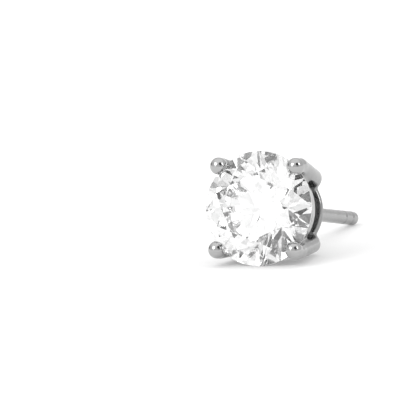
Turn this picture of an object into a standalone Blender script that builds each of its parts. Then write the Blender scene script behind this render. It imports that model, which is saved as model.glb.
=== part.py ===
"""A diamond stud earring at rest: a round brilliant stone in a four-prong basket on a grooved post.

Each piece is modelled along the stud's own axis: +Z goes to the table of the stone, -Z to the tip of
the post, and the origin is the centre of the girdle. An empty then lays the whole stud on the plane
z = 0, where it rests on the girdle and on the tip of the post. All sizes are in metres.
"""

import math

import bmesh
import bpy
from mathutils import Matrix, Vector

# Round brilliant stone
STONE_DIAMETER = 0.0065
GIRDLE_THINNEST = 0.00005
TABLE_SHARE = 0.57
STAR_SHARE = 0.50
LOWER_TIP_SHARE = 0.23
CROWN_ANGLE = math.radians(34.5)
PAVILION_ANGLE = math.radians(40.8)
MAIN_FACETS = 8
GIRDLE_SIDES_PER_HALF = 4

# Space between the stone and the metal that holds it, and between its point and the wires behind it
SEAT_GAP = 0.00005
CULET_CLEARANCE = 0.0003

# Two bent wires that cross behind the stone and end in the four prongs
PRONG_WIRE_DIAMETER = 0.00092
PRONG_NOTCH_DEPTH = 0.00027
PRONG_SLOPE = math.radians(12.6)
PRONG_SHOULDER_BEND = 0.0004
PRONG_TIP_LEAN = math.radians(14)
PRONG_TIP_STRAIGHT = 0.00008
PRONG_TIP_PROUD = 0.00006
BASKET_BEND = 0.00045

# Closed collar that the pavilion of the stone sits in, sunk a little into the prongs
GALLERY_DEPTH = 0.00045
GALLERY_HEIGHT = 0.00165
GALLERY_BITE = 0.00013
GALLERY_WALL = 0.0003
GALLERY_RIM_HEIGHT = 0.0005
GALLERY_RIM_STEP = 0.00006

# Wire ring that ties the prongs together at the back
BASE_RING_WIRE_DIAMETER = 0.0005
BASE_RING_INSET = 0.00053
BASE_RING_BEHIND = 0.0001

# Round pad where the wires cross, and the post soldered to it
PAD_DIAMETER = 0.0017
PAD_THICKNESS = 0.0005
PAD_PROUD = 0.0001
PAD_BEVEL = 0.00008
POST_DIAMETER = 0.00078
POST_LENGTH = 0.0095
POST_TIP_ROUNDING_SHARE = 0.77
GROOVE_DISTANCES_FROM_TIP = (0.0009, 0.0019)
GROOVE_WIDTH = 0.00032
GROOVE_FLOOR_SHARE = 0.33
GROOVE_DEPTH = 0.00006

# Smoothness of the round shapes
WIRE_SIDES = 16
POST_SIDES = 24
COLLAR_SIDES = 64
RING_WIRE_SIDES = 10
ARC_STEPS = 5
TIP_STEPS = 7
SMOOTH_ANGLE = math.radians(35)

# Finishes
DIAMOND_COLOUR = (0.97, 0.97, 0.97, 1.0)
DIAMOND_IOR = 2.417
WHITE_GOLD_COLOUR = (0.63, 0.63, 0.64, 1.0)
WHITE_GOLD_ROUGHNESS = 0.12


def tip_height(tip_radius, slope):
    """How far the corner of two neighbouring main facets stands off the level of the girdle."""
    return (GIRDLE_RADIUS - tip_radius * math.cos(math.pi / MAIN_FACETS)) * math.tan(slope)


def girdle_level(tip_radius, slope):
    """Half the girdle's thickness at a main facet: half the thinnest, and the dip of a half facet."""
    quarter = math.cos(math.pi / MAIN_FACETS / 2)
    half_facet_slope = tip_height(tip_radius, slope) / ((GIRDLE_RADIUS - tip_radius) * quarter)
    return GIRDLE_THINNEST / 2 + GIRDLE_RADIUS * (1 - quarter) * half_facet_slope


# Derived sizes of the stone
GIRDLE_RADIUS = STONE_DIAMETER / 2
GIRDLE_SIDES = 2 * MAIN_FACETS * GIRDLE_SIDES_PER_HALF
TABLE_RADIUS = TABLE_SHARE * GIRDLE_RADIUS
TABLE_EDGE = TABLE_RADIUS * math.cos(math.pi / MAIN_FACETS)
STAR_TIP_RADIUS = TABLE_EDGE + STAR_SHARE * (GIRDLE_RADIUS - TABLE_EDGE)
LOWER_TIP_RADIUS = LOWER_TIP_SHARE * GIRDLE_RADIUS
UPPER_LEVEL = girdle_level(STAR_TIP_RADIUS, CROWN_ANGLE)
LOWER_LEVEL = girdle_level(LOWER_TIP_RADIUS, PAVILION_ANGLE)
TABLE_HEIGHT = UPPER_LEVEL + (GIRDLE_RADIUS - TABLE_RADIUS) * math.tan(CROWN_ANGLE)
CULET_DEPTH = LOWER_LEVEL + GIRDLE_RADIUS * math.tan(PAVILION_ANGLE)
# A flat of the girdle, not a corner, is lowest, so that the stone does not rock
STONE_TURN = math.pi / GIRDLE_SIDES

# Derived sizes of the metal
WIRE_RADIUS = PRONG_WIRE_DIAMETER / 2
TIP_RADIUS = WIRE_RADIUS + PRONG_TIP_PROUD
BASKET_DEPTH = CULET_DEPTH + CULET_CLEARANCE + WIRE_RADIUS
PRONG_RADIUS_AT_GIRDLE = GIRDLE_RADIUS + WIRE_RADIUS - PRONG_NOTCH_DEPTH
PRONG_RADIUS_AT_BACK = PRONG_RADIUS_AT_GIRDLE - BASKET_DEPTH * math.tan(PRONG_SLOPE)
POST_RADIUS = POST_DIAMETER / 2
POST_TIP_ROUNDING = POST_TIP_ROUNDING_SHARE * POST_RADIUS
PAD_BACK = -(BASKET_DEPTH + WIRE_RADIUS + PAD_PROUD)
POST_END = PAD_BACK - POST_LENGTH


def clear_scene():
    for obj in list(bpy.data.objects):
        bpy.data.objects.remove(obj, do_unlink=True)


def finish(name, colour, roughness, metallic, transmission=0.0, ior=1.5):
    """A Principled material."""
    material = bpy.data.materials.new(name)
    material.use_nodes = True
    shader = material.node_tree.nodes["Principled BSDF"]
    shader.inputs["Base Color"].default_value = colour
    shader.inputs["Roughness"].default_value = roughness
    shader.inputs["Metallic"].default_value = metallic
    shader.inputs["Transmission Weight"].default_value = transmission
    shader.inputs["IOR"].default_value = ior
    return material


def object_from(name, bm):
    """The object of a finished bmesh, linked to the scene."""
    bmesh.ops.recalc_face_normals(bm, faces=bm.faces)
    mesh = bpy.data.meshes.new(name)
    bm.to_mesh(mesh)
    bm.free()
    obj = bpy.data.objects.new(name, mesh)
    bpy.context.scene.collection.objects.link(obj)
    return obj


def make_guide(obj):
    """Keeps a piece of a Boolean out of the finished model."""
    obj.hide_render = True
    obj.display_type = "WIRE"


def around(angle, radius, z):
    """The point at an angle round the stud's axis."""
    return Vector((radius * math.cos(angle), radius * math.sin(angle), z))


def plane_height(corners, point):
    """The z at which a plane through three corners passes the x and y of a point."""
    normal = (corners[1] - corners[0]).cross(corners[2] - corners[0])
    offset = point - corners[0]
    return corners[0].z - (normal.x * offset.x + normal.y * offset.y) / normal.z


def half_facet_tips(tip_radius, slope, level, side):
    """The inner corners of the half facets, where two neighbouring main facets meet."""
    turn = math.pi / MAIN_FACETS
    height = side * (level + tip_height(tip_radius, slope))
    return [around(turn * (2 * k + 1), tip_radius, height) for k in range(MAIN_FACETS)]


def girdle_edge(tips, level):
    """One edge of the girdle: at level where half facets meet, and scalloped by each between."""
    edge = []
    turn = math.pi / MAIN_FACETS
    for index in range(GIRDLE_SIDES):
        half = index // GIRDLE_SIDES_PER_HALF
        ends = [around(turn * (half + step), GIRDLE_RADIUS, level) for step in (0, 1)]
        point = around(turn * index / GIRDLE_SIDES_PER_HALF, GIRDLE_RADIUS, level)
        point.z = plane_height([tips[half // 2]] + ends, point)
        edge.append(point)
    return edge


def brilliant(name):
    """A round brilliant: table, stars, bezels and halves above the girdle, halves and mains below it."""
    turn = 2 * math.pi / MAIN_FACETS
    star_tips = half_facet_tips(STAR_TIP_RADIUS, CROWN_ANGLE, UPPER_LEVEL, 1)
    lower_tips = half_facet_tips(LOWER_TIP_RADIUS, PAVILION_ANGLE, LOWER_LEVEL, -1)

    bm = bmesh.new()
    table = [bm.verts.new(around(turn * k, TABLE_RADIUS, TABLE_HEIGHT)) for k in range(MAIN_FACETS)]
    stars = [bm.verts.new(point) for point in star_tips]
    upper = [bm.verts.new(point) for point in girdle_edge(star_tips, UPPER_LEVEL)]
    lower = [bm.verts.new(point) for point in girdle_edge(lower_tips, -LOWER_LEVEL)]
    inner = [bm.verts.new(point) for point in lower_tips]
    culet = bm.verts.new((0, 0, -CULET_DEPTH))

    bm.faces.new(table)
    for k in range(MAIN_FACETS):
        main = 2 * k * GIRDLE_SIDES_PER_HALF
        bm.faces.new((table[k], stars[k], table[(k + 1) % MAIN_FACETS]))
        bm.faces.new((table[k], stars[k - 1], upper[main], stars[k]))
        bm.faces.new((culet, inner[k - 1], lower[main], inner[k]))
        for start in (main, main + GIRDLE_SIDES_PER_HALF):
            run = [(start + step) % GIRDLE_SIDES for step in range(GIRDLE_SIDES_PER_HALF + 1)]
            bm.faces.new([stars[k]] + [upper[i] for i in run])
            bm.faces.new([inner[k]] + [lower[i] for i in run])
    for i in range(GIRDLE_SIDES):
        after = (i + 1) % GIRDLE_SIDES
        bm.faces.new((upper[i], upper[after], lower[after], lower[i]))
    bmesh.ops.rotate(bm, verts=bm.verts, cent=(0, 0, 0), matrix=Matrix.Rotation(STONE_TURN, 3, "Z"))
    return object_from(name, bm)


def bar(name, centres, radii, side, sides):
    """A round bar through centres in one plane, which side is square to. A radius of 0 closes an end."""
    bm = bmesh.new()
    rings = []
    last = len(centres) - 1
    for i, (centre, radius) in enumerate(zip(centres, radii)):
        if radius == 0:
            rings.append([bm.verts.new(centre)])
            continue
        along = (centres[min(i + 1, last)] - centres[max(i - 1, 0)]).normalized()
        across = along.cross(side)
        ring = []
        for step in range(sides):
            angle = 2 * math.pi * step / sides
            ring.append(bm.verts.new(centre + radius * (math.cos(angle) * side + math.sin(angle) * across)))
        rings.append(ring)
    for first, second in zip(rings, rings[1:]):
        for step in range(sides):
            after = (step + 1) % sides
            corners = [first[step % len(first)], first[after % len(first)],
                       second[after % len(second)], second[step % len(second)]]
            bm.faces.new(list(dict.fromkeys(corners)))
    return object_from(name, bm)


def turned(name, profile, sides):
    """A ring: a closed profile of (radius, z) points turned round the stud's axis."""
    bm = bmesh.new()
    rings = []
    for step in range(sides):
        angle = 2 * math.pi * step / sides
        rings.append([bm.verts.new(around(angle, radius, z)) for radius, z in profile])
    for step in range(sides):
        first = rings[step]
        second = rings[(step + 1) % sides]
        for i in range(len(profile)):
            after = (i + 1) % len(profile)
            bm.faces.new((first[i], first[after], second[after], second[i]))
    return object_from(name, bm)


def rounded(corners, bends):
    """A path through corners, with each inner corner turned on an arc of its own radius."""
    path = [corners[0]]
    for before, corner, after, radius in zip(corners, corners[1:], corners[2:], bends):
        inward = (before - corner).normalized()
        outward = (after - corner).normalized()
        half = inward.angle(outward) / 2
        centre = corner + (inward + outward).normalized() * radius / math.sin(half)
        start = (corner + inward * radius / math.tan(half) - centre).normalized()
        end = (corner + outward * radius / math.tan(half) - centre).normalized()
        for step in range(ARC_STEPS + 1):
            path.append(centre + radius * start.slerp(end, step / ARC_STEPS))
    path.append(corners[-1])
    return path


def prong_wire(name, angle):
    """One wire bent to a U, with a ball at each end that laps over the edge of the stone."""
    shoulder = around(angle, PRONG_RADIUS_AT_GIRDLE, 0)
    heel = around(angle, PRONG_RADIUS_AT_BACK, -BASKET_DEPTH)
    towards_tip = around(angle, -math.sin(PRONG_TIP_LEAN), math.cos(PRONG_TIP_LEAN))
    bend_run = PRONG_SHOULDER_BEND * math.tan((PRONG_SLOPE + PRONG_TIP_LEAN) / 2)
    neck = shoulder + towards_tip * (bend_run + PRONG_TIP_STRAIGHT)
    opposite = Matrix.Rotation(math.pi, 3, "Z")
    half = [neck, shoulder, heel]
    corners = half + [opposite @ point for point in reversed(half)]
    bends = [PRONG_SHOULDER_BEND, BASKET_BEND, BASKET_BEND, PRONG_SHOULDER_BEND]
    centres = rounded(corners, bends)

    ball_depth = math.sqrt(TIP_RADIUS ** 2 - WIRE_RADIUS ** 2)
    ball_centre = neck + towards_tip * ball_depth
    start_turn = -math.asin(ball_depth / TIP_RADIUS)
    ball = []
    girths = []
    for step in range(1, TIP_STEPS + 1):
        turn = start_turn + (math.pi / 2 - start_turn) * step / TIP_STEPS
        ball.append(ball_centre + towards_tip * TIP_RADIUS * math.sin(turn))
        girths.append(TIP_RADIUS * math.cos(turn) if step < TIP_STEPS else 0)
    centres = ball[::-1] + centres + [opposite @ point for point in ball]
    radii = girths[::-1] + [WIRE_RADIUS] * (len(centres) - 2 * TIP_STEPS) + girths
    return bar(name, centres, radii, around(angle - math.pi / 2, 1, 0), WIRE_SIDES)


def gallery(name):
    """The collar below the girdle, parallel to the prongs, with a slightly proud rim round its top."""
    bottom = GALLERY_DEPTH + GALLERY_HEIGHT
    rim = GALLERY_DEPTH + GALLERY_RIM_HEIGHT

    def outer(depth):
        prong_inside = PRONG_RADIUS_AT_GIRDLE - depth * math.tan(PRONG_SLOPE) - WIRE_RADIUS
        return prong_inside + GALLERY_BITE

    profile = [
        (outer(GALLERY_DEPTH), -GALLERY_DEPTH),
        (outer(rim), -rim),
        (outer(rim) - GALLERY_RIM_STEP, -rim - GALLERY_RIM_STEP),
        (outer(bottom) - GALLERY_RIM_STEP, -bottom),
        (outer(bottom) - GALLERY_WALL, -bottom),
        (outer(GALLERY_DEPTH) - GALLERY_WALL, -GALLERY_DEPTH),
    ]
    return turned(name, profile, COLLAR_SIDES)


def base_ring(name):
    """The round wire that runs round the back of the basket."""
    wire = BASE_RING_WIRE_DIAMETER / 2
    centre = PRONG_RADIUS_AT_BACK - BASE_RING_INSET
    depth = BASKET_DEPTH + BASE_RING_BEHIND
    profile = []
    for step in range(RING_WIRE_SIDES):
        angle = 2 * math.pi * step / RING_WIRE_SIDES
        profile.append((centre + wire * math.cos(angle), wire * math.sin(angle) - depth))
    return turned(name, profile, COLLAR_SIDES)


def post_profile():
    """(z, radius) along the pad and the post, from inside the crossed wires to the tip."""
    profile = [
        (PAD_BACK + PAD_THICKNESS, 0),
        (PAD_BACK + PAD_THICKNESS, PAD_DIAMETER / 2),
        (PAD_BACK + PAD_BEVEL, PAD_DIAMETER / 2),
        (PAD_BACK, PAD_DIAMETER / 2 - PAD_BEVEL),
        (PAD_BACK, POST_RADIUS),
    ]
    half_floor = GROOVE_FLOOR_SHARE * GROOVE_WIDTH / 2
    for distance in sorted(GROOVE_DISTANCES_FROM_TIP, reverse=True):
        middle = POST_END + distance
        profile += [
            (middle + GROOVE_WIDTH / 2, POST_RADIUS),
            (middle + half_floor, POST_RADIUS - GROOVE_DEPTH),
            (middle - half_floor, POST_RADIUS - GROOVE_DEPTH),
            (middle - GROOVE_WIDTH / 2, POST_RADIUS),
        ]
    for step in range(ARC_STEPS + 1):
        angle = math.pi / 2 * step / ARC_STEPS
        profile.append((
            POST_END + POST_TIP_ROUNDING * (1 - math.sin(angle)),
            POST_RADIUS - POST_TIP_ROUNDING * (1 - math.cos(angle)),
        ))
    profile.append((POST_END, 0))
    return profile


def pad_and_post(name):
    profile = post_profile()
    centres = [Vector((0, 0, z)) for z, _ in profile]
    radii = [radius for _, radius in profile]
    return bar(name, centres, radii, Vector((0, 1, 0)), POST_SIDES)


def add_boolean(obj, name, operation, other):
    modifier = obj.modifiers.new(name, "BOOLEAN")
    modifier.operation = operation
    modifier.solver = "EXACT"
    modifier.object = other


def prong_setting():
    """All the metal, soldered into one piece, with the seat for the stone cut in it."""
    setting = gallery("prong_setting")
    joined = [
        prong_wire("prong_wire_rising", math.radians(45)),
        prong_wire("prong_wire_falling", math.radians(135)),
        base_ring("base_ring"),
        pad_and_post("pad_and_post"),
    ]
    for piece in joined:
        make_guide(piece)
        add_boolean(setting, piece.name, "UNION", piece)
    seat = brilliant("seat_cutter")
    seat.scale = [(GIRDLE_RADIUS + SEAT_GAP) / GIRDLE_RADIUS] * 3
    make_guide(seat)
    add_boolean(setting, seat.name, "DIFFERENCE", seat)
    return setting, joined + [seat]


def rest_tilt():
    """The angle at which the girdle and the rounded tip of the post touch the same plane."""
    girdle_low = GIRDLE_RADIUS * math.cos(STONE_TURN)
    rise = girdle_low - (POST_RADIUS - POST_TIP_ROUNDING)
    run = -POST_END - POST_TIP_ROUNDING - LOWER_LEVEL
    return math.acos(POST_TIP_ROUNDING / math.hypot(rise, run)) - math.atan2(run, rise)


def lay_down(pieces, shown):
    """Parents the pieces to one empty and lays it so that the bottom of the box centres on the origin."""
    rest = bpy.data.objects.new("stud_at_rest", None)
    bpy.context.scene.collection.objects.link(rest)
    rest.rotation_euler = (math.pi / 2 - rest_tilt(), 0, 0)
    for piece in pieces:
        piece.parent = rest
    bpy.context.view_layer.update()
    graph = bpy.context.evaluated_depsgraph_get()
    corners = []
    for piece in shown:
        evaluated = piece.evaluated_get(graph)
        corners += [evaluated.matrix_world @ vertex.co for vertex in evaluated.data.vertices]
    low = [min(corner[axis] for corner in corners) for axis in range(3)]
    high = [max(corner[axis] for corner in corners) for axis in range(3)]
    rest.location = (-(low[0] + high[0]) / 2, -(low[1] + high[1]) / 2, -low[2])


def main():
    clear_scene()
    stone = brilliant("round_brilliant")
    stone.data.materials.append(finish("diamond", DIAMOND_COLOUR, 0.0, 0.0, 1.0, DIAMOND_IOR))
    setting, guides = prong_setting()
    for piece in [setting] + guides:
        piece.data.shade_smooth()
        piece.data.set_sharp_from_angle(angle=SMOOTH_ANGLE)
    setting.data.materials.append(finish("white_gold", WHITE_GOLD_COLOUR, WHITE_GOLD_ROUGHNESS, 1.0))
    lay_down([stone, setting] + guides, [stone, setting])


main()
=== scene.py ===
"""Looks of the diamond stud earring, lying at rest on a pale floor in soft studio light.

The stone is the CAD node itself with a cut-stone finish. Two smooth pieces made here stand for the
setting: the basket, taken from the CAD solid and softened where parts are soldered, and the post.
They are modelled along the stud's own axis in millimetres: +Z goes to the table of the stone, -Z to
the tip of the post, and the origin is the centre of the girdle. Everything else is in metres.
"""

import math

import bmesh
import bpy
import numpy as np
from mathutils import Matrix, Vector
from mathutils.bvhtree import BVHTree


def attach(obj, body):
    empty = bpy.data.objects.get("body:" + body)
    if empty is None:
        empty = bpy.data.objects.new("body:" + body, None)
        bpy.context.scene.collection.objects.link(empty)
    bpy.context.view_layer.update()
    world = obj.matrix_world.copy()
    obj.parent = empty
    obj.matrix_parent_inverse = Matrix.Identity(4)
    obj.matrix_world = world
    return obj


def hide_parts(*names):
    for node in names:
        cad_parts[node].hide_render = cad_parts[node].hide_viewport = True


# Where the stud lies, the same as in the CAD
REST_TILT = math.radians(12.0698)
GIRDLE_CENTRE = Vector((0.0, -0.0060110, 0.0031913))
MM = 0.001

# Sizes repeated from the CAD, in millimetres
PAD_BACK = -4.2065
POST_RADIUS = 0.39
POST_END = -13.7065
POST_TIP_ROUNDING = 0.3003
GROOVES_FROM_TIP = (0.9, 1.9)
GROOVE_WIDTH = 0.32
GROOVE_DEPTH = 0.06

# Softening of the soldered basket, in millimetres, and how far a point moves in a round of smoothing
JOIN_DISTANCE = 0.0001
VOXEL = 0.05
SMOOTH_SHARE = 0.5
SMOOTH_ROUNDS = 16
SOLDER_ROUNDS = 60
LAST_ROUNDS = 8
SEAT_ZONE = 0.05
STONE_CLEARANCE = 0.02
STONE_SEARCH = 0.25
POST_STUB = 0.16

# Turning of the post, in millimetres
POST_START = PAD_BACK + 0.1
FINE_STEP = 0.02
PLAIN_STEP = 0.1
TIP_ARC_STEPS = 12
POST_SIDES = 64

# How far and how finely rays look for covering metal, which sets the painted shade in hollows, in
# millimetres
SHADE_RAY_REACH = 2.5
SHADE_RAY_LIFT = 0.01
SHADE_RAYS = 16
PAINTED_SHADE_BLUR = 8
GOLDEN_ANGLE = math.pi * (3 - math.sqrt(5))
NEARLY_SIDEWAYS = 0.7

# The inside of the basket, in millimetres, and how far a face counts that looks towards its middle,
# for the painted shade there
BASKET_MIDDLE = (0.0, 0.0, -1.9)
INSIDE_BEGINS = -1.9
INSIDE_COMPLETE = -2.3
FACING_GAIN = 2.0
FACING_AT_RIGHT_ANGLES = 0.5

# White gold: zones in metres in front of the girdle, and noise as waves per metre and detail
LEG_TO_TIP = (-0.0007, 0.0002)
POST_TO_LEG = (-0.0044, -0.0040)
# Painted shade: the legs' colour darker than the tips', with painted light added to the post's
LEG_TO_TIP_PAINTED_SHADE = (0.315, 0.45)
LEG_TO_TIP_ROUGHNESS = (0.22, 0.08)
POST_PAINTED_LIGHT_ADDED = 0.055
# Span of the stored painted shade in hollows and inside the basket, and its darkest share of the
# colour
PAINTED_SHADE_SPAN = (0.44, 0.72)
PAINTED_SHADE_SHARE = 0.31
NOISE_SPAN = (0.3, 0.7)
CLOUD_NOISE = (900.0, 3.0)
CLOUD_SHARE = (0.96, 1.04)
SATIN_NOISE = (2500.0, 4.0)
SATIN_SHARE = (0.85, 1.15)
SCRATCH_STRETCH = (9000.0, 60000.0, 60000.0)
SCRATCH_NOISE = (1.0, 2.0)
SCRATCH_STRENGTH = 0.06
SCRATCH_DEPTH = 0.0000015
FILED_NOISE = (2200.0, 1.0)
FILED_DEPTH = 0.000012

# Diamond: the frosty girdle's half height and reach from the centre in metres, noise as above
DIAMOND_IOR = 2.417
DIAMOND_COLOUR = (0.985, 0.985, 0.985, 1)
GIRDLE_HALF_HEIGHT = (0.00003, 0.00006)
GIRDLE_REACH = (0.00322, 0.003235)
POLISH_NOISE = (1500.0, 2.0)
POLISH_SPAN = (0.4, 0.7)
POLISH_ROUGHNESS = (0.0, 0.006)
FROST_NOISE = (40000.0, 2.0)
FROST_ROUGHNESS = (0.25, 0.45)

# Floor, in metres
FLOOR_RADIUS = 3.0
FLOOR_SIDES = 96
FLOOR_COLOUR = (0.72, 0.72, 0.72, 1)
FLOOR_GLOW = 0.27
WHITE = (1, 1, 1, 1)

# The photograph's camera: yaw and height angle of the view, roll of the stud, and scale
VIEW_YAW = math.radians(24.15)
VIEW_HEIGHT = math.radians(10.55)
STUD_ROLL = math.radians(-4)
PIXELS_PER_METRE = 17730
GIRDLE_PIXEL = (259.0, 208.5)
PICTURE = 400
SENSOR = 36
CAMERA_DISTANCE = 0.8
CLIP_START = 0.01
CLIP_END = 20

# Light tent, and its patches: degrees right and up from the camera, reach, soft edge and radiance
TENT_RADIANCE = 0.87
TENT_PATCHES = {
    "bright_roof": (0, 90, 25, 35, 1.27),
    "bright_left": (-48, 13.5, 7, 4, 1.8),
    "dark_upper_right": (32, 37, 16, 8, 0.05),
    "dim_lower_right": (30, 8, 8, 8, 0.5),
    "dim_far_left": (-122, 10, 10, 8, 0.3),
    "dim_behind": (-172, 11, 5, 4, 0.3),
    "bright_ground": (0, -90, 92, 3, 1.15),
}

# Softboxes: degrees right and up from the camera, distance, width and height in metres, radiance
SOFTBOXES = {
    "softbox_left": (-52, 36, 1.0, 0.6, 0.5, 3.3),
    "softbox_right": (62, 32, 1.0, 0.3, 0.4, 4.0),
}

# Light paths, with enough bounces for a cut stone
BOUNCES = 32
GLOSSY_BOUNCES = 12

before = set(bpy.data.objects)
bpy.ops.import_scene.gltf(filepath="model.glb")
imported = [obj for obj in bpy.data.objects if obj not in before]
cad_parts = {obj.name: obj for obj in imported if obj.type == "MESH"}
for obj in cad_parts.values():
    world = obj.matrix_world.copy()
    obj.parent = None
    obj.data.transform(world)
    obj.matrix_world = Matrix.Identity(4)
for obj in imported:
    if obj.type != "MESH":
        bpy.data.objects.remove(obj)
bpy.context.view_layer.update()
to_stud = (
    Matrix.Scale(1 / MM, 4)
    @ Matrix.Rotation(REST_TILT - math.pi / 2, 4, "X")
    @ Matrix.Translation(-GIRDLE_CENTRE)
)
from_stud = to_stud.inverted()


# Geometry

def stud_mesh(node):
    """A copy of a CAD node's mesh in the stud's own axes, with its corners joined."""
    bm = bmesh.new()
    bm.from_mesh(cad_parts[node].data)
    bm.transform(to_stud)
    bmesh.ops.remove_doubles(bm, verts=bm.verts, dist=JOIN_DISTANCE)
    return bm


def finished_mesh(name, bm):
    mesh = bpy.data.meshes.new(name)
    bm.to_mesh(mesh)
    bm.free()
    return mesh


def link(name, data):
    obj = bpy.data.objects.new(name, data)
    bpy.context.scene.collection.objects.link(obj)
    return obj


def settle(obj, node, material):
    """Puts a finished piece in the frame, in the place of its CAD node."""
    obj.data.transform(from_stud)
    obj.data.shade_smooth()
    obj.data.materials.clear()
    obj.data.materials.append(material)
    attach(obj, "root")
    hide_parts(node)


def rough_basket(name):
    """The CAD setting without its post, but for a stub that the post's fillet is made from."""
    bm = stud_mesh("prong_setting")
    cut = Vector((0, 0, PAD_BACK - POST_STUB))
    bmesh.ops.bisect_plane(bm, geom=bm.verts[:] + bm.edges[:] + bm.faces[:], plane_co=cut,
                           plane_no=(0, 0, 1), clear_inner=True)
    bmesh.ops.holes_fill(bm, edges=[edge for edge in bm.edges if edge.is_boundary])
    bmesh.ops.recalc_face_normals(bm, faces=bm.faces)
    return finished_mesh(name, bm)


def softened(mesh):
    """The same form made of small even faces, and smoothed."""
    rough = link(mesh.name, mesh)
    remesh = rough.modifiers.new("remesh", "REMESH")
    remesh.mode = "VOXEL"
    remesh.voxel_size = VOXEL
    smooth = rough.modifiers.new("smooth", "SMOOTH")
    smooth.factor = SMOOTH_SHARE
    smooth.iterations = SMOOTH_ROUNDS
    graph = bpy.context.evaluated_depsgraph_get()
    soft = bpy.data.meshes.new_from_object(rough.evaluated_get(graph))
    bpy.data.objects.remove(rough)
    return soft


def stone_tree():
    """A search tree over the facets of the stone."""
    bm = stud_mesh("round_brilliant")
    bmesh.ops.recalc_face_normals(bm, faces=bm.faces)
    tree = BVHTree.FromBMesh(bm)
    bm.free()
    return tree


def basket(name):
    """Prongs, collar, ring and pad in one softened piece, with the fillet of the post."""
    soft = softened(rough_basket(name + "_rough"))
    stone = stone_tree()
    solder(soft, stone)
    keep_off(soft, stone)
    soft.name = name
    return link(name, soft)


class Skin:
    """The points of a mesh as an array, with the average of each point's neighbours."""

    def __init__(self, mesh):
        self.mesh = mesh
        self.count = len(mesh.vertices)
        flat = np.empty(self.count * 3)
        mesh.vertices.foreach_get("co", flat)
        self.place = flat.reshape(-1, 3)
        ends = np.empty(len(mesh.edges) * 2, dtype=np.int32)
        mesh.edges.foreach_get("vertices", ends)
        self.first, self.second = ends[0::2], ends[1::2]
        self.degree = np.bincount(self.first, minlength=self.count)
        self.degree += np.bincount(self.second, minlength=self.count)

    def average(self, values):
        total = np.bincount(self.first, values[self.second], self.count)
        total += np.bincount(self.second, values[self.first], self.count)
        return total / self.degree

    def pull(self):
        """The way from each point to the middle of its neighbours."""
        return np.stack([self.average(self.place[:, k]) for k in range(3)], axis=1) - self.place

    def store(self):
        self.mesh.vertices.foreach_set("co", self.place.ravel())
        self.mesh.update()

    def normals(self):
        flat = np.empty(self.count * 3, dtype=np.float32)
        self.mesh.vertex_normals.foreach_get("vector", flat)
        return flat.reshape(-1, 3).astype(float)


def solder(mesh, stone):
    """Fills the inner corners between joined parts as solder does, but not the stone's seat."""
    skin = Skin(mesh)
    free = np.ones(skin.count)
    for index, vertex in enumerate(mesh.vertices):
        distance = stone.find_nearest(vertex.co, SEAT_ZONE)[3]
        if distance is not None:
            free[index] = distance / SEAT_ZONE
    for _ in range(SOLDER_ROUNDS):
        normals = skin.normals()
        outward = np.clip((skin.pull() * normals).sum(axis=1), 0, None) * free
        skin.place += outward[:, None] * normals
        skin.store()
    for _ in range(LAST_ROUNDS):
        skin.place += SMOOTH_SHARE * skin.pull()
    skin.store()


def keep_off(mesh, stone):
    """Moves softened metal back out of the stone, where it grew into its seat."""
    for vertex in mesh.vertices:
        point, normal, _, distance = stone.find_nearest(vertex.co, STONE_SEARCH)
        if point is None:
            continue
        if (vertex.co - point).dot(normal) < 0 or distance < STONE_CLEARANCE:
            vertex.co = point + normal * STONE_CLEARANCE
    mesh.update()


def joined_tree(meshes):
    """One search tree over several meshes that lie in the same axes."""
    corners, faces = [], []
    for mesh in meshes:
        first = len(corners)
        corners += [vertex.co.copy() for vertex in mesh.vertices]
        faces += [[first + index for index in face.vertices] for face in mesh.polygons]
    return BVHTree.FromPolygons(corners, faces)


def covered_share(skin, normals, tree):
    """How much of each point's outlook metal covers, by rays in a spiral round its normal."""
    helper = np.where(np.abs(normals[:, :1]) < NEARLY_SIDEWAYS, (1.0, 0.0, 0.0), (0.0, 1.0, 0.0))
    side = np.cross(normals, helper)
    side /= np.linalg.norm(side, axis=1)[:, None]
    across = np.cross(normals, side)
    starts = [Vector(point) for point in skin.place + normals * SHADE_RAY_LIFT]
    covered = np.zeros(skin.count)
    for i in range(SHADE_RAYS):
        height = math.sqrt(1 - (i + 0.5) / SHADE_RAYS)
        flat = math.sqrt(1 - height * height)
        around = math.cos(GOLDEN_ANGLE * i) * side + math.sin(GOLDEN_ANGLE * i) * across
        towards = flat * around + height * normals
        hits = [tree.ray_cast(start, line, SHADE_RAY_REACH)[0] is not None
                for start, line in zip(starts, towards.tolist())]
        covered += np.array(hits) / SHADE_RAYS
    return covered


def inside_share(skin, normals):
    """How much each point between collar and pad faces the middle of the basket."""
    inwards = np.array(BASKET_MIDDLE) - skin.place
    inwards /= np.linalg.norm(inwards, axis=1)[:, None]
    level = skin.place[:, 2]
    depth = (INSIDE_BEGINS - level) / (INSIDE_BEGINS - INSIDE_COMPLETE)
    facing = FACING_GAIN * (inwards * normals).sum(axis=1) + FACING_AT_RIGHT_ANGLES
    share = np.clip(facing, 0, 1) * np.clip(depth, 0, 1)
    share[level < PAD_BACK] = 0
    return share


def store_shelter(mesh, tree):
    """Keeps with each point its painted shade, from covering metal and from facing into the basket,
    softly blurred.
    """
    skin = Skin(mesh)
    normals = skin.normals()
    # Painted shade: darker where metal covers a point or where it faces into the basket
    painted_shade = np.maximum(covered_share(skin, normals, tree), inside_share(skin, normals))
    for _ in range(PAINTED_SHADE_BLUR):
        painted_shade = (1 - SMOOTH_SHARE) * painted_shade + SMOOTH_SHARE * skin.average(painted_shade)
    kept = mesh.attributes.new("painted_shade", "FLOAT", "POINT")
    kept.data.foreach_set("value", painted_shade)


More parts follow.
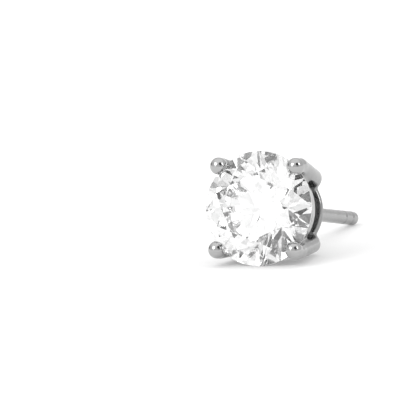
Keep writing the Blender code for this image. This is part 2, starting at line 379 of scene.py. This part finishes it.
def post_profile():
    """(radius, z) points along the post, with two rounded grooves and a rounded tip."""
    points = [(0, POST_START)]
    z = POST_START
    while z > POST_END + POST_TIP_ROUNDING:
        near = min(abs(z - POST_END - distance) for distance in GROOVES_FROM_TIP)
        off = min(near / (GROOVE_WIDTH / 2), 1.0)
        points.append((POST_RADIUS - GROOVE_DEPTH * (1 + math.cos(math.pi * off)) / 2, z))
        z -= FINE_STEP if near < GROOVE_WIDTH else PLAIN_STEP
    for i in range(TIP_ARC_STEPS + 1):
        angle = math.pi / 2 * i / TIP_ARC_STEPS
        points.append((POST_RADIUS - POST_TIP_ROUNDING * (1 - math.cos(angle)),
                       POST_END + POST_TIP_ROUNDING * (1 - math.sin(angle))))
    points.append((0, POST_END))
    return points


def post(name):
    """The post, turned from its profile."""
    bm = bmesh.new()
    turns = [2 * math.pi * i / POST_SIDES for i in range(POST_SIDES)]
    rings = []
    for radius, z in post_profile():
        if radius == 0:
            rings.append([bm.verts.new((0, 0, z))])
            continue
        ring = [(radius * math.cos(turn), radius * math.sin(turn), z) for turn in turns]
        rings.append([bm.verts.new(corner) for corner in ring])
    for first, second in zip(rings, rings[1:]):
        for i in range(POST_SIDES):
            j = (i + 1) % POST_SIDES
            corners = [first[i % len(first)], first[j % len(first)],
                       second[j % len(second)], second[i % len(second)]]
            bm.faces.new(list(dict.fromkeys(corners)))
    bmesh.ops.recalc_face_normals(bm, faces=bm.faces)
    return link(name, finished_mesh(name, bm))


# Materials

class Nodes:
    """A short way to write a node tree."""

    def __init__(self, tree):
        self.tree = tree
        tree.nodes.clear()

    def add(self, kind, settings=None, **inputs):
        node = self.tree.nodes.new(kind)
        for key, value in (settings or {}).items():
            setattr(node, key, value)
        for key, value in inputs.items():
            self.put(node, key.replace("_", " "), value)
        return node

    def put(self, node, key, value):
        socket = node.inputs[int(key)] if key.isdigit() else node.inputs[key]
        if isinstance(value, bpy.types.NodeSocket):
            self.tree.links.new(value, socket)
        else:
            socket.default_value = value

    def math(self, operation, *values):
        node = self.add("ShaderNodeMath", {"operation": operation})
        for index, value in enumerate(values):
            self.put(node, str(index), value)
        return node.outputs[0]

    def vector(self, operation, *values):
        """The node of a vector operation, whose result is its Vector or its Value."""
        node = self.add("ShaderNodeVectorMath", {"operation": operation})
        for index, value in enumerate(values):
            self.put(node, str(index), value)
        return node

    def spread(self, value, span, ends=(0.0, 1.0), kind="LINEAR"):
        """The value, which runs over the span, made to run from one end to the other."""
        node = self.add("ShaderNodeMapRange", {"interpolation_type": kind})
        keys = ("Value", "From Min", "From Max", "To Min", "To Max")
        for key, number in zip(keys, (value, *span, *ends)):
            self.put(node, key, number)
        return node.outputs[0]

    def noise(self, vector, waves, detail):
        node = self.add("ShaderNodeTexNoise", Vector=vector, Scale=waves, Detail=detail)
        return node.outputs["Fac"]

    def finish(self, shader, kind="ShaderNodeOutputMaterial"):
        out = self.add(kind)
        self.tree.links.new(shader.outputs[0], out.inputs[0])


def new_material(name):
    """A material with an empty node tree, and the tree to write."""
    material = bpy.data.materials.new(name)
    material.use_nodes = True
    return material, Nodes(material.node_tree)


def along_stud(n, place):
    """How far a point lies in front of the girdle along the stud's axis, in metres."""
    axis = (from_stud.to_3x3() @ Vector((0, 0, 1))).normalized()
    along = n.vector("DOT_PRODUCT", place, axis)
    return n.math("SUBTRACT", along.outputs["Value"], GIRDLE_CENTRE.dot(axis))


def white_gold():
    """Bright tips, satin legs and post, the legs' colour painted darker as painted shade, and
    painted shade in hollows and inside the basket.
    """
    material, n = new_material("white_gold_polished")
    place = n.add("ShaderNodeTexCoord").outputs["Object"]
    shader = n.add("ShaderNodeBsdfPrincipled", Metallic=1.0)
    # Painted shade: the stored share darkens the colour in hollows and inside the basket
    painted_shade_mask = n.add("ShaderNodeAttribute", {"attribute_name": "painted_shade"}).outputs["Fac"]
    painted_shade_amount = n.spread(painted_shade_mask, PAINTED_SHADE_SPAN, kind="SMOOTHSTEP")
    cloud = n.noise(place, *CLOUD_NOISE)
    front = along_stud(n, place)
    # Painted shade on the legs, painted light on the tips and a little on the post
    legs = n.spread(front, LEG_TO_TIP, LEG_TO_TIP_PAINTED_SHADE)
    painted_zone_tone = n.math("ADD", legs, n.spread(front, POST_TO_LEG, (POST_PAINTED_LIGHT_ADDED, 0.0)))
    shade = n.math("MULTIPLY", painted_zone_tone, n.spread(cloud, NOISE_SPAN, CLOUD_SHARE))
    with_painted_shade = n.math("MULTIPLY", shade, n.spread(painted_shade_amount, (0.0, 1.0), (1.0, PAINTED_SHADE_SHARE)))
    colour = n.add("ShaderNodeCombineColor", Red=with_painted_shade, Green=with_painted_shade, Blue=with_painted_shade)
    n.put(shader, "Base Color", colour.outputs[0])
    satin = n.spread(front, LEG_TO_TIP, LEG_TO_TIP_ROUGHNESS)
    uneven = n.spread(n.noise(place, *SATIN_NOISE), NOISE_SPAN, SATIN_SHARE)
    n.put(shader, "Roughness", n.math("MULTIPLY", satin, uneven))
    stretch = n.add("ShaderNodeMapping", Vector=place, Scale=SCRATCH_STRETCH)
    scratch = n.noise(stretch.outputs[0], *SCRATCH_NOISE)
    filed = n.add("ShaderNodeBump", Strength=1.0, Distance=FILED_DEPTH,
                  Height=n.noise(place, *FILED_NOISE))
    bump = n.add("ShaderNodeBump", Strength=SCRATCH_STRENGTH, Distance=SCRATCH_DEPTH,
                 Height=scratch, Normal=filed.outputs[0])
    n.put(shader, "Normal", bump.outputs[0])
    n.finish(shader)
    return material


def diamond():
    """Clear polished facets and a bruted, frosty girdle."""
    material, n = new_material("diamond_cut")
    place = n.add("ShaderNodeTexCoord").outputs["Object"]
    shader = n.add("ShaderNodeBsdfPrincipled", IOR=DIAMOND_IOR, Transmission_Weight=1.0,
                   Base_Color=DIAMOND_COLOUR)
    level = n.math("ABSOLUTE", along_stud(n, place))
    girdle = n.spread(level, GIRDLE_HALF_HEIGHT, (1.0, 0.0))
    across = n.vector("SUBTRACT", place, GIRDLE_CENTRE)
    reach = n.vector("LENGTH", across.outputs["Vector"])
    rim = n.spread(reach.outputs["Value"], GIRDLE_REACH)
    frosty = n.math("MULTIPLY", girdle, rim)
    polish = n.spread(n.noise(place, *POLISH_NOISE), POLISH_SPAN, POLISH_ROUGHNESS)
    grain = n.spread(n.noise(place, *FROST_NOISE), NOISE_SPAN, FROST_ROUGHNESS)
    n.put(shader, "Roughness", n.math("MULTIPLY_ADD", frosty, grain, polish))
    n.finish(shader)
    return material


def floor_finish():
    """A matt pale board, lit a little from below so that shadows stay light."""
    material, n = new_material("pale_board")
    board = n.add("ShaderNodeBsdfDiffuse", Color=FLOOR_COLOUR)
    glow = n.add("ShaderNodeEmission", Color=WHITE, Strength=FLOOR_GLOW)
    both = n.add("ShaderNodeAddShader")
    n.put(both, "0", board.outputs[0])
    n.put(both, "1", glow.outputs[0])
    n.finish(both)
    return material


# Camera, floor and light

def view_axes():
    """Right, up and back of the photograph's camera."""
    turned = (
        Matrix.Rotation(-VIEW_YAW, 3, "Z")
        @ Matrix.Rotation(-REST_TILT, 3, "X")
        @ Matrix.Rotation(STUD_ROLL, 3, "Y")
        @ Matrix.Rotation(REST_TILT, 3, "X")
    ).transposed()
    sine, cosine = math.sin(VIEW_HEIGHT), math.cos(VIEW_HEIGHT)
    return (turned @ Vector((1, 0, 0)), turned @ Vector((0, sine, cosine)),
            turned @ Vector((0, -cosine, sine)))


def add_camera():
    """The photograph's camera, with the girdle's centre at its own place in the picture."""
    right, up, back = view_axes()
    off_x = (GIRDLE_PIXEL[0] - PICTURE / 2) / PIXELS_PER_METRE
    off_y = (GIRDLE_PIXEL[1] - PICTURE / 2) / PIXELS_PER_METRE
    centre = GIRDLE_CENTRE - right * off_x + up * off_y
    data = bpy.data.cameras.new("camera")
    data.sensor_width = SENSOR
    data.lens = PIXELS_PER_METRE * CAMERA_DISTANCE * SENSOR / PICTURE
    data.clip_start = CLIP_START
    data.clip_end = CLIP_END
    camera = link("camera", data)
    turn = Matrix((right, up, back)).transposed().to_4x4()
    camera.matrix_world = Matrix.Translation(centre + back * CAMERA_DISTANCE) @ turn
    bpy.context.scene.camera = camera


def direction(right_deg, up_deg):
    """A direction from the stud, turned to the right and upwards from the photograph's camera."""
    back = view_axes()[2]
    azimuth = math.atan2(back.y, back.x) + math.radians(right_deg)
    height = math.radians(up_deg)
    return Vector((math.cos(azimuth) * math.cos(height), math.sin(azimuth) * math.cos(height),
                   math.sin(height)))


def softbox(name, right_deg, up_deg, distance, width, height, radiance):
    """A lit rectangle that looks at the stud."""
    data = bpy.data.lights.new(name, "AREA")
    data.shape = "RECTANGLE"
    data.size = width
    data.size_y = height
    data.energy = radiance * math.pi * width * height
    lamp = link(name, data)
    towards = direction(right_deg, up_deg)
    lamp.location = GIRDLE_CENTRE + towards * distance
    lamp.rotation_mode = "QUATERNION"
    lamp.rotation_quaternion = towards.to_track_quat("Z", "Y")


def tent():
    """The white light tent round the stud, with softly edged darker and brighter parts."""
    world = bpy.data.worlds.new("light_tent")
    world.use_nodes = True
    bpy.context.scene.world = world
    n = Nodes(world.node_tree)
    look = n.add("ShaderNodeTexCoord").outputs["Generated"]
    value = TENT_RADIANCE
    for right_deg, up_deg, reach, edge, radiance in TENT_PATCHES.values():
        near = n.vector("DOT_PRODUCT", look, direction(right_deg, up_deg))
        span = (math.cos(math.radians(reach + edge)), math.cos(math.radians(reach)))
        # Sockets 0, 2 and 3 of a float mix are the share and the two values
        mixed = n.add("ShaderNodeMix", {"data_type": "FLOAT"})
        n.put(mixed, "0", n.spread(near.outputs["Value"], span, kind="SMOOTHSTEP"))
        n.put(mixed, "2", value)
        n.put(mixed, "3", radiance)
        value = mixed.outputs[0]
    light = n.add("ShaderNodeBackground", Strength=value, Color=WHITE)
    n.finish(light, "ShaderNodeOutputWorld")


def add_floor():
    bm = bmesh.new()
    bmesh.ops.create_circle(bm, cap_ends=True, segments=FLOOR_SIDES, radius=FLOOR_RADIUS)
    floor = link("floor", finished_mesh("floor", bm))
    floor.data.materials.append(floor_finish())


def render_options():
    scene = bpy.context.scene
    scene.view_settings.view_transform = "Standard"
    scene.view_settings.look = "None"
    scene.cycles.use_denoising = True
    scene.cycles.max_bounces = BOUNCES
    scene.cycles.transmission_bounces = BOUNCES
    scene.cycles.glossy_bounces = GLOSSY_BOUNCES
    scene.cycles.caustics_reflective = True
    scene.cycles.caustics_refractive = True


def main():
    metal = white_gold()
    parts = [basket("basket"), post("ear_post")]
    tree = joined_tree([part.data for part in parts])
    for part in parts:
        store_shelter(part.data, tree)
        settle(part, "prong_setting", metal)
    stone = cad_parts["round_brilliant"]
    stone.data.materials.clear()
    stone.data.materials.append(diamond())
    add_floor()
    add_camera()
    tent()
    for name, place_and_light in SOFTBOXES.items():
        softbox(name, *place_and_light)
    render_options()


main()
